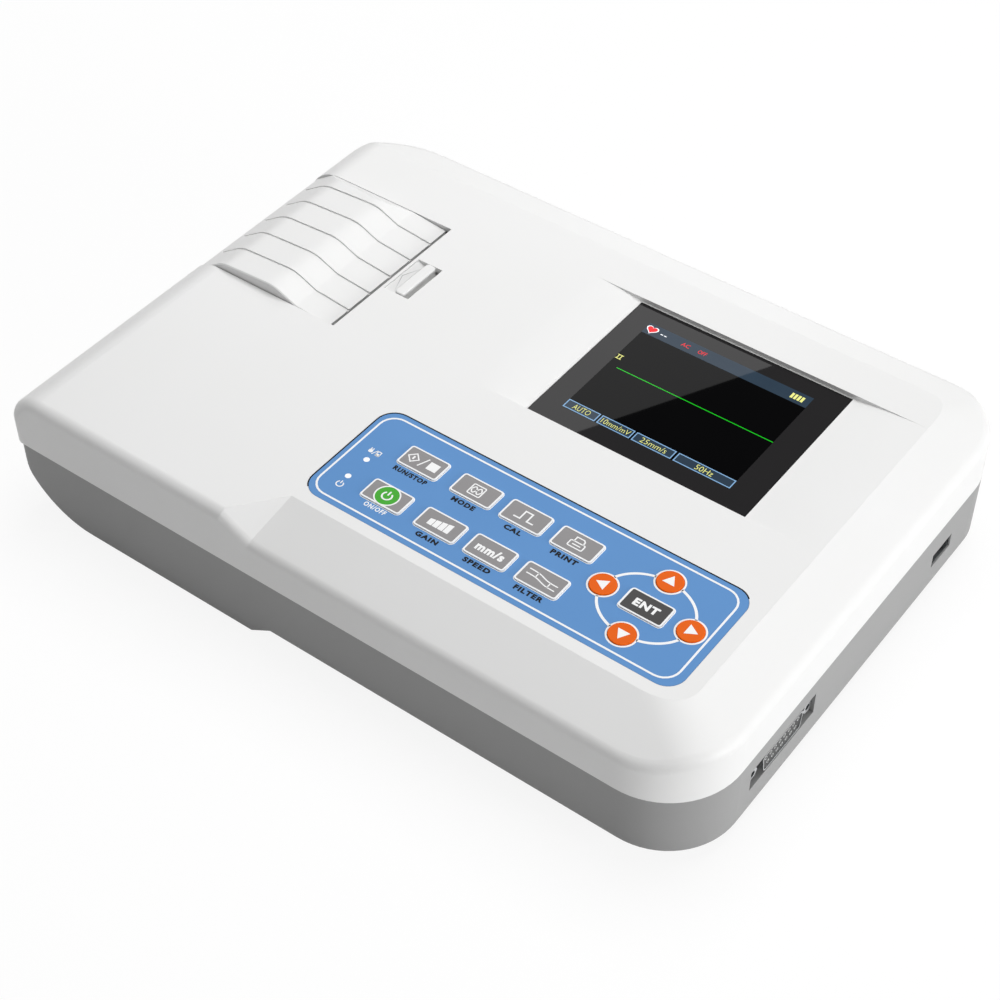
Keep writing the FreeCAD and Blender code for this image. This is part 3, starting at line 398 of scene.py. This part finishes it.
# angle hidden by a key, beside and ahead
hide = np.degrees((keypad["arrowRadius"] + keypad["ringGap"]) / arrowReach)
for quarter in range(4):
    first, last = hide[::-1] if quarter % 2 == 0 else hide
    arc = arcPath(padMiddle, arrowReach, 90 * quarter + first, 90 * quarter + 90 - last)
    white.append(line(filmPlace, arc, keypad["ringWidth"]))
keyHalf = np.array(keypad["keyHalf"])
haloIn, haloOut, haloRound = keypad["halo"]
for node in list(keypad["captions"]) + ["key_power", "key_enter"]:
    middle = topOf(node)[:2]
    reach = keyHalf + (haloIn + haloOut) / 2
    halo = roundedOutline(middle - reach, middle + reach, keypad["keyRound"] + keypad["haloCorner"])
    white.append(line(filmPlace, halo, haloOut - haloIn, True))
for node in ("key_left", "key_right", "key_up", "key_down"):
    halo = circlePath(topOf(node)[:2], keypad["arrowRadius"] + (haloIn + haloRound) / 2)
    white.append(line(filmPlace, halo, haloRound - haloIn, True))
lampLow, lampHigh = planOf("indicator_lamps")[:2]
lampMiddle = (lampLow[0] + lampHigh[0]) / 2
signX = lampMiddle + keypad["signShift"]
powerPlace = flatPlace((signX, lampLow[1] - keypad["powerSignDrop"], filmTop))
chargePlace = flatPlace((signX, lampHigh[1] + keypad["chargeSignLift"], filmTop))
white += [
    # power: an open ring with a stem in its gap
    line(powerPlace, arcPath((0, 0), (1.25, 1.25), 125, 415, 20), 0.42),
    line(powerPlace, [(0, 0.3), (0, 1.7)], 0.42),
    # charge: a plug with two prongs, a stroke, and a cell half full
    patch(chargePlace, roundedOutline((-2.5, -0.9), (-0.9, 0.7), 0.5, 4)),
    line(chargePlace, [(-2.1, 0.6), (-2.1, 1.4)], 0.35),
    line(chargePlace, [(-1.3, 0.6), (-1.3, 1.4)], 0.35),
    line(chargePlace, [(-0.6, -1.2), (0.5, 1.3)], 0.3),
    line(chargePlace, roundedOutline((0.8, -1.0), (2.2, 1.1), 0.2, 3), 0.35, True),
    patch(chargePlace, roundedOutline((0.8, -1.0), (2.2, 0.1), 0.2, 3)),
]
words, width = keypad["powerCaption"]
powerKey = topOf("key_power")
powerY = powerKey[1] - keypad["captionDrop"] + keypad["powerLift"]
powerSize = (width, keypad["captionHeight"] * keypad["powerShare"])
white.append(lettering(filmPlace, words, (powerKey[0], powerY), powerSize, keypad["powerWeight"],
                       keypad["captionSpacing"]))
printPiece("keypad_print_white", white, "white", "base")
# black ink: the captions' print, and a painted shade line along the film's edge
black = []
for node, (words, width) in keypad["captions"].items():
    key = topOf(node)
    middle = (key[0] - keypad["captionShift"], key[1] - keypad["captionDrop"])
    black.append(lettering(filmPlace, words, middle, (width, keypad["captionHeight"]),
                           keypad["captionWeight"], keypad["captionSpacing"]))
# painted shade: a dark line along the film's back and left edges stands in for the shade on the pocket's
# wall, from the middle of the right rear corner to the middle of the left front one
shadeOut, shadeWidth = keypad["paintedShadeLine"]
edgeSteps = 9
filmEdge = roundedOutline(filmLow - shadeOut, filmHigh + shadeOut, keypad["filmRound"] + shadeOut, edgeSteps)
paintedShadeRun = slice(edgeSteps // 2, 2 * edgeSteps + edgeSteps // 2 + 1)
black.append(line(filmPlace, filmEdge[paintedShadeRun], shadeWidth))
printPiece("keypad_print_black_and_painted_shade", black, "black", "base")
print("keypad film printed")

# keys: a white outline and a sign on each, carried by the key
keyArt = {
    "edge": 0.55,          # width of the outline on the cap
    "skirt": 0.06,         # how far it stands out over the cap's side
    "skirtDepth": 0.42,    # and how far it goes down it
    "stroke": 0.56,        # width of a drawn sign's line
    "thin": 0.46,
    "spacing": 1.15,       # between the letters of a word on a key
    "arrow": 2.6,          # arrow tip from its key's middle
    "disc": 4.2,
    "ring": (0.2, 0.5),    # white ring: its middle out from the disc's edge, its width
}
stroke, thin, spacing = keyArt["stroke"], keyArt["thin"], keyArt["spacing"]
# four bars under one rising line
barFoot, barWidth, barRise = -2.1, 1.95, 0.18
bars = [[(x, barFoot), (x + barWidth, barFoot), (x + barWidth, 1.7 + barRise * x), (x, 1.35 + barRise * x)]
        for x in (-4.35, -2.15, 0.05, 2.25)]
# waves of the mode sign: height = 1.4 times the sine of the way across, and its mirror image
# steps of the filter sign: height falls by 1.7 along a logistic curve
wave = np.linspace(-1, 1, 25)
swing = 1.4 * np.sin(wave * np.pi)
fall = 1.7 / (1 + np.exp(-5 * wave))
signs = {
    "key_start_stop": lambda p: [
        line(p, [(-6.35, 0), (-4.2, -2.15), (-2.05, 0), (-4.2, 2.15)], thin, True),
        line(p, [(-4.2, -0.8), (-4.2, 0.8)], 0.65),
        line(p, [(-1.1, -2.4), (0.9, 2.4)], thin),
        patch(p, rectangle((2.0, -1.85), (5.9, 1.85)))],
    "key_mode": lambda p: [
        line(p, roundedOutline((-2.45, -2.35), (2.45, 2.35), 0.4, 3), thin, True),
        line(p, np.stack([wave * 2.0, swing], 1), thin),
        line(p, np.stack([wave * 2.0, -swing], 1), thin)],
    "key_calibrate": lambda p: [
        line(p, [(-3.9, -1.8), (-1.4, -1.8), (-1.4, 2.0), (1.4, 2.0), (1.4, -1.8), (3.9, -1.8)], stroke)],
    "key_print": lambda p: [
        line(p, roundedOutline((-2.8, -2.1), (2.8, 0.5), 0.4, 3), thin, True),
        line(p, [(-1.7, 0.5), (-1.7, 2.5), (1.1, 2.5), (1.8, 1.8), (1.8, 0.5)], thin),
        line(p, [(-1.6, -0.8), (1.6, -0.8)], thin)],
    "key_gain": lambda p: [patch(p, bar) for bar in bars],
    "key_speed": lambda p: [lettering(p, "mm/s", (0, 0), (10.8, 3.7), 0.045, spacing)],
    "key_filter": lambda p: [
        line(p, np.stack([wave * 6.0, 1.9 - fall], 1), thin),
        line(p, np.stack([wave * 6.0, -0.2 - fall], 1), thin),
        line(p, [(-2.4, 1.8), (-2.4, -0.3)], 0.4),
        line(p, [(3.1, 0.2), (3.1, -1.8)], 0.4)],
    "key_enter": lambda p: [lettering(p, "ENT", (0, 0), (9.2, 3.2), 0.05, spacing)],
}
rim = keyHalf + keyArt["skirt"] - keyArt["edge"] / 2
rimOutline = roundedOutline(-rim, rim, keypad["keyRound"] - keyArt["edge"] / 2, 5)
for node in list(signs) + ["key_power"]:
    middle = topOf(node)
    place = flatPlace(middle)
    shapes = [line(place, rimOutline, keyArt["edge"], True, keyArt["skirtDepth"])]
    if node == "key_power":
        printPiece("key_power_disc", [patch(place, circlePath((0, 0), keyArt["disc"]))], "green", node)
        raised = flatPlace(middle + (0, 0, film))
        ringOut, ringWidth = keyArt["ring"]
        shapes.append(line(raised, circlePath((0, 0), keyArt["disc"] + ringOut), ringWidth, True))
        shapes.append(line(raised, arcPath((0, -0.1), (1.75, 1.75), 128, 412, 24), stroke))
        shapes.append(line(raised, [(0, 0.2), (0, 2.2)], stroke))
    else:
        shapes += signs[node](place)
    printPiece(node + "_print", shapes, "white", node)
for node, turn in (("key_right", 0), ("key_up", 90), ("key_left", 180), ("key_down", 270)):
    tip = arcPath((0, 0), (keyArt["arrow"],) * 2, turn, turn + 240, 3)
    printPiece(node + "_print", [patch(flatPlace(topOf(node)), tip)], "white", node)
print("keys printed")

# display: the dark field, a header band, four boxes at the front edge, a level trace and small marks
display = {
    "field": ((9.0, 9.5), (11.0, 7.7)),     # picture in from the glass's left and front, right and back
    "layer": 0.03,                          # each layer of the picture above the one before
    "band": 6.0,
    "boxHeight": 4.4,
    "boxes": ((0.0, 0.195, "AUTO"), (0.207, 0.405, "10mm/mV"), (0.417, 0.652, "25mm/s"),
              (0.667, 1.0, "50Hz")),        # left and right edge as shares of the field, and words
    "boxLine": 0.38,
    "boxText": (1.72, 2.5, -0.01),          # a letter's width, its height and its weight
    "boxMargin": 2.0,                       # left free beside long words
    "traceShare": 0.502,                    # trace's place from the front edge
    "traceStart": 3.8,                      # from the left edge
    "traceWidth": 0.34,
    "traceSteps": 40,
    "channel": (1.4, 5.3),                  # channel sign from the left edge, and behind the trace
    "cells": (7.4, 1.35, 0.95, 1.35),       # battery: in from the right edge, pitch, width, half height
    "heart": (2.6, 0.1),                    # from the left edge, and from the band's middle
    "heartSize": (4.8, 3.9),                # its white rim and its red face
    "dashes": (6.4, 1.5, 1.0, 0.2, 0.4),    # from the left edge, pitch, length, drop, width
    "notes": ((17.0, "AC"), (24.0, "OFF")),
    "noteSize": (3.4, 1.9),
}
glassLow, glassHigh, glassTop = planOf("display_glass")
fieldLow = glassLow + display["field"][0]
fieldHigh = glassHigh - display["field"][1]
span = fieldHigh - fieldLow
glassPlace, layer, upper, crown = [flatPlace((0, 0, glassTop + i * display["layer"])) for i in range(4)]


# a piece of the display's picture
def showPiece(name, shapes, ink):
    printPiece(name, shapes, ink, "base")


showPiece("display_field", [patch(glassPlace, rectangle(fieldLow, fieldHigh))], "lcdBlack")
bandLow = (fieldLow[0], fieldHigh[1] - display["band"])
boxTop = fieldLow[1] + display["boxHeight"]
boxSpans = [(fieldLow[0] + span[0] * a, fieldLow[0] + span[0] * b) for a, b, _ in display["boxes"]]
bands = [patch(layer, rectangle(bandLow, fieldHigh))]
bands += [patch(layer, rectangle((a, fieldLow[1]), (b, boxTop))) for a, b in boxSpans]
showPiece("display_bands", bands, "lcdBlue")
edge = display["boxLine"] / 2
frames = [rectangle((a + edge, fieldLow[1] + edge), (b - edge, boxTop - edge)) for a, b in boxSpans]
showPiece("display_boxes", [line(upper, path, display["boxLine"], True) for path in frames], "lcdLine")
traceY = fieldLow[1] + span[1] * display["traceShare"]
traceX = np.linspace(fieldLow[0] + display["traceStart"], fieldHigh[0], display["traceSteps"])
trace = np.stack([traceX, np.full_like(traceX, traceY)], 1)
showPiece("display_trace", [line(layer, trace, display["traceWidth"])], "lcdGreen")
letterWidth, letterHeight, letterWeight = display["boxText"]
boxY = (fieldLow[1] + boxTop) / 2
yellow = []
for (a, b), (_, _, words) in zip(boxSpans, display["boxes"]):
    width = min(b - a - display["boxMargin"], letterWidth * len(words))
    yellow.append(lettering(upper, words, ((a + b) / 2, boxY), (width, letterHeight), letterWeight))
# channel sign: two upright strokes between two level ones
channelX = fieldLow[0] + display["channel"][0]
channelY = traceY + display["channel"][1]
for x in (channelX - 0.6, channelX + 0.6):
    yellow.append(line(layer, [(x, channelY - 1.0), (x, channelY + 1.0)], 0.32))
for y in (channelY - 1.05, channelY + 1.05):
    yellow.append(line(upper, [(channelX - 1.2, y), (channelX + 1.2, y)], 0.3))
# battery sign: four cells
bandY = fieldHigh[1] - display["band"] / 2
cellIn, cellPitch, cellWidth, cellHalf = display["cells"]
for i in range(4):
    cell = fieldHigh[0] - cellIn + cellPitch * i
    yellow.append(patch(upper, rectangle((cell, bandY - cellHalf), (cell + cellWidth, bandY + cellHalf))))
showPiece("display_yellow", yellow, "lcdYellow")
# heart: across goes with the sine's cube, and up is the cosine less smaller cosines of two, three and
# four times the turn; divided by its width
beat = np.radians(np.linspace(0, circleEnd, circleSteps))
heartAcross = 16 * np.sin(beat) ** 3
heartUp = 13 * np.cos(beat) - 5 * np.cos(2 * beat) - 2 * np.cos(3 * beat) - np.cos(4 * beat)
heart = np.stack([heartAcross, heartUp], 1)[::-1] / 32
heartMiddle = np.array([fieldLow[0] + display["heart"][0], bandY + display["heart"][1]])
rimSize, faceSize = display["heartSize"]
pale = [patch(upper, heartMiddle + heart * rimSize)]
dashStart, dashPitch, dashLength, dashDrop, dashWidth = display["dashes"]
for i in range(2):
    x, y = fieldLow[0] + dashStart + dashPitch * i, bandY - dashDrop
    pale.append(line(upper, [(x, y), (x + dashLength, y)], dashWidth))
showPiece("display_white", pale, "lcdWhite")
red = [patch(crown, heartMiddle + heart * faceSize)]
for x, words in display["notes"]:
    red.append(lettering(upper, words, (fieldLow[0] + x, bandY), display["noteSize"], 0.0))
showPiece("display_red", red, "lcdRed")
print("display drawn")

# latch ramp: a raised outline of a flat triangle that points at the door, grey as painted shade
latchMark = {
    "start": (-72.3, 54.6),       # top of the ramp, x and z
    "slope": (0.9191, -0.3939),   # down the ramp, x and z
    "middle": 30.7,               # along the latch
    "triangle": ((1.0, 0.0), (3.5, -7.6), (3.5, 7.6)),
    "width": 0.3,
}
startX, startZ = latchMark["start"]
downX, downZ = latchMark["slope"]
rampPlace = flatPlace((startX, latchMark["middle"], startZ), (downX, 0, downZ))
printPiece("latch_mark", [line(rampPlace, latchMark["triangle"], latchMark["width"], True)], "relief", "base")
print("latch marked")

# stage: a pale floor that reads white to the eye and to reflections, and keeps a soft shadow
stage = {
    "half": 30.0,          # m, so that low views end on the floor
    "tone": 0.85,
    "brightShare": 0.86,   # share of its own light in what the eye sees
    "brightness": 1.03,
}
floorMaterial = bpy.data.materials.new("studio_paper_white")
floorMaterial.use_nodes = True
floorTree = floorMaterial.node_tree
floorTree.nodes.clear()
path = addNode(floorTree, "ShaderNodeLightPath")
seen = addNode(floorTree, "ShaderNodeMath", {"operation": "ADD"},
               links={0: path.outputs["Is Camera Ray"], 1: path.outputs["Is Glossy Ray"]})
seen = addNode(floorTree, "ShaderNodeMath", {"operation": "ADD", "use_clamp": True},
               links={0: seen.outputs[0], 1: path.outputs["Is Transmission Ray"]})
share = addNode(floorTree, "ShaderNodeMath", {"operation": "MULTIPLY"}, {1: stage["brightShare"]},
                {0: seen.outputs[0]})
matte = addNode(floorTree, "ShaderNodeBsdfDiffuse", values={"Color": (*[stage["tone"]] * 3, 1)})
bright = addNode(floorTree, "ShaderNodeEmission",
                 values={"Color": (1, 1, 1, 1), "Strength": stage["brightness"]})
mixed = addNode(floorTree, "ShaderNodeMixShader",
                links={0: share.outputs[0], 1: matte.outputs[0], 2: bright.outputs[0]})
addNode(floorTree, "ShaderNodeOutputMaterial", links={"Surface": mixed.outputs[0]})
floorCorners = rectangle((-stage["half"],) * 2, (stage["half"],) * 2)
floorMesh = bpy.data.meshes.new("floor")
floorMesh.from_pydata([(x, y, 0) for x, y in floorCorners], [], [(0, 1, 2, 3)])
floorMesh.materials.append(floorMaterial)
floor = bpy.data.objects.new("floor", floorMesh)
bpy.context.scene.collection.objects.link(floor)

lighting = {
    "ambient": 0.265,
    "side": {"place": (1.30, 0.0, 0.28), "size": 0.5, "power": 8.7},
    "overhead": {"place": (0.0, 0.40, 1.35), "size": 1.0, "power": 13.8},
    "card": {"place": (-0.45, 0.6951, 0.4867), "turn": (-0.7851, 0.3001, 0.8018), "size": (1.0, 0.5),
             "power": 4.2},
}
world = bpy.data.worlds.new("studio")
bpy.context.scene.world = world
world.use_nodes = True
background = world.node_tree.nodes["Background"]
background.inputs["Color"].default_value = (1, 1, 1, 1)
background.inputs["Strength"].default_value = lighting["ambient"]
# softboxes, each turned to the machine
for name in ("side", "overhead"):
    lampData = bpy.data.lights.new(name + "_softbox", "AREA")
    lampData.size = lighting[name]["size"]
    lampData.energy = lighting[name]["power"]
    softbox = bpy.data.objects.new(name + "_softbox", lampData)
    x, y, z = lighting[name]["place"]
    softbox.location = (x, y, z)
    softbox.rotation_euler = (math.atan2(math.hypot(x, y), z), 0, math.atan2(x, -y))
    softbox.visible_camera = False
    bpy.context.scene.collection.objects.link(softbox)
# card behind the machine that only shows in reflections, as a pale sheen across part of the glass
cardData = bpy.data.lights.new("reflector_card", "AREA")
cardData.shape = "RECTANGLE"
cardData.size, cardData.size_y = lighting["card"]["size"]
cardData.energy = lighting["card"]["power"]
card = bpy.data.objects.new("reflector_card", cardData)
card.location = lighting["card"]["place"]
card.rotation_euler = lighting["card"]["turn"]
card.visible_camera = False
card.visible_diffuse = False
bpy.context.scene.collection.objects.link(card)

# camera at the photograph's angle: a long lens looking down from the front right
view = {
    "place": (0.31266, -0.42612, 0.53700),
    "azimuth": 36.591,
    "elevation": 45.2275,
    "lens": 74.34,
    "sensor": 36.0,
    "near": 0.01,
}
cameraData = bpy.data.cameras.new("camera")
cameraData.sensor_width = view["sensor"]
cameraData.lens = view["lens"]
cameraData.clip_start = view["near"]
camera = bpy.data.objects.new("camera", cameraData)
camera.location = view["place"]
camera.rotation_euler = (math.radians(90 - view["elevation"]), 0, math.radians(view["azimuth"]))
bpy.context.scene.collection.objects.link(camera)
bpy.context.scene.camera = camera
bpy.context.scene.view_settings.view_transform = "Standard"
print("stage, light and camera set")
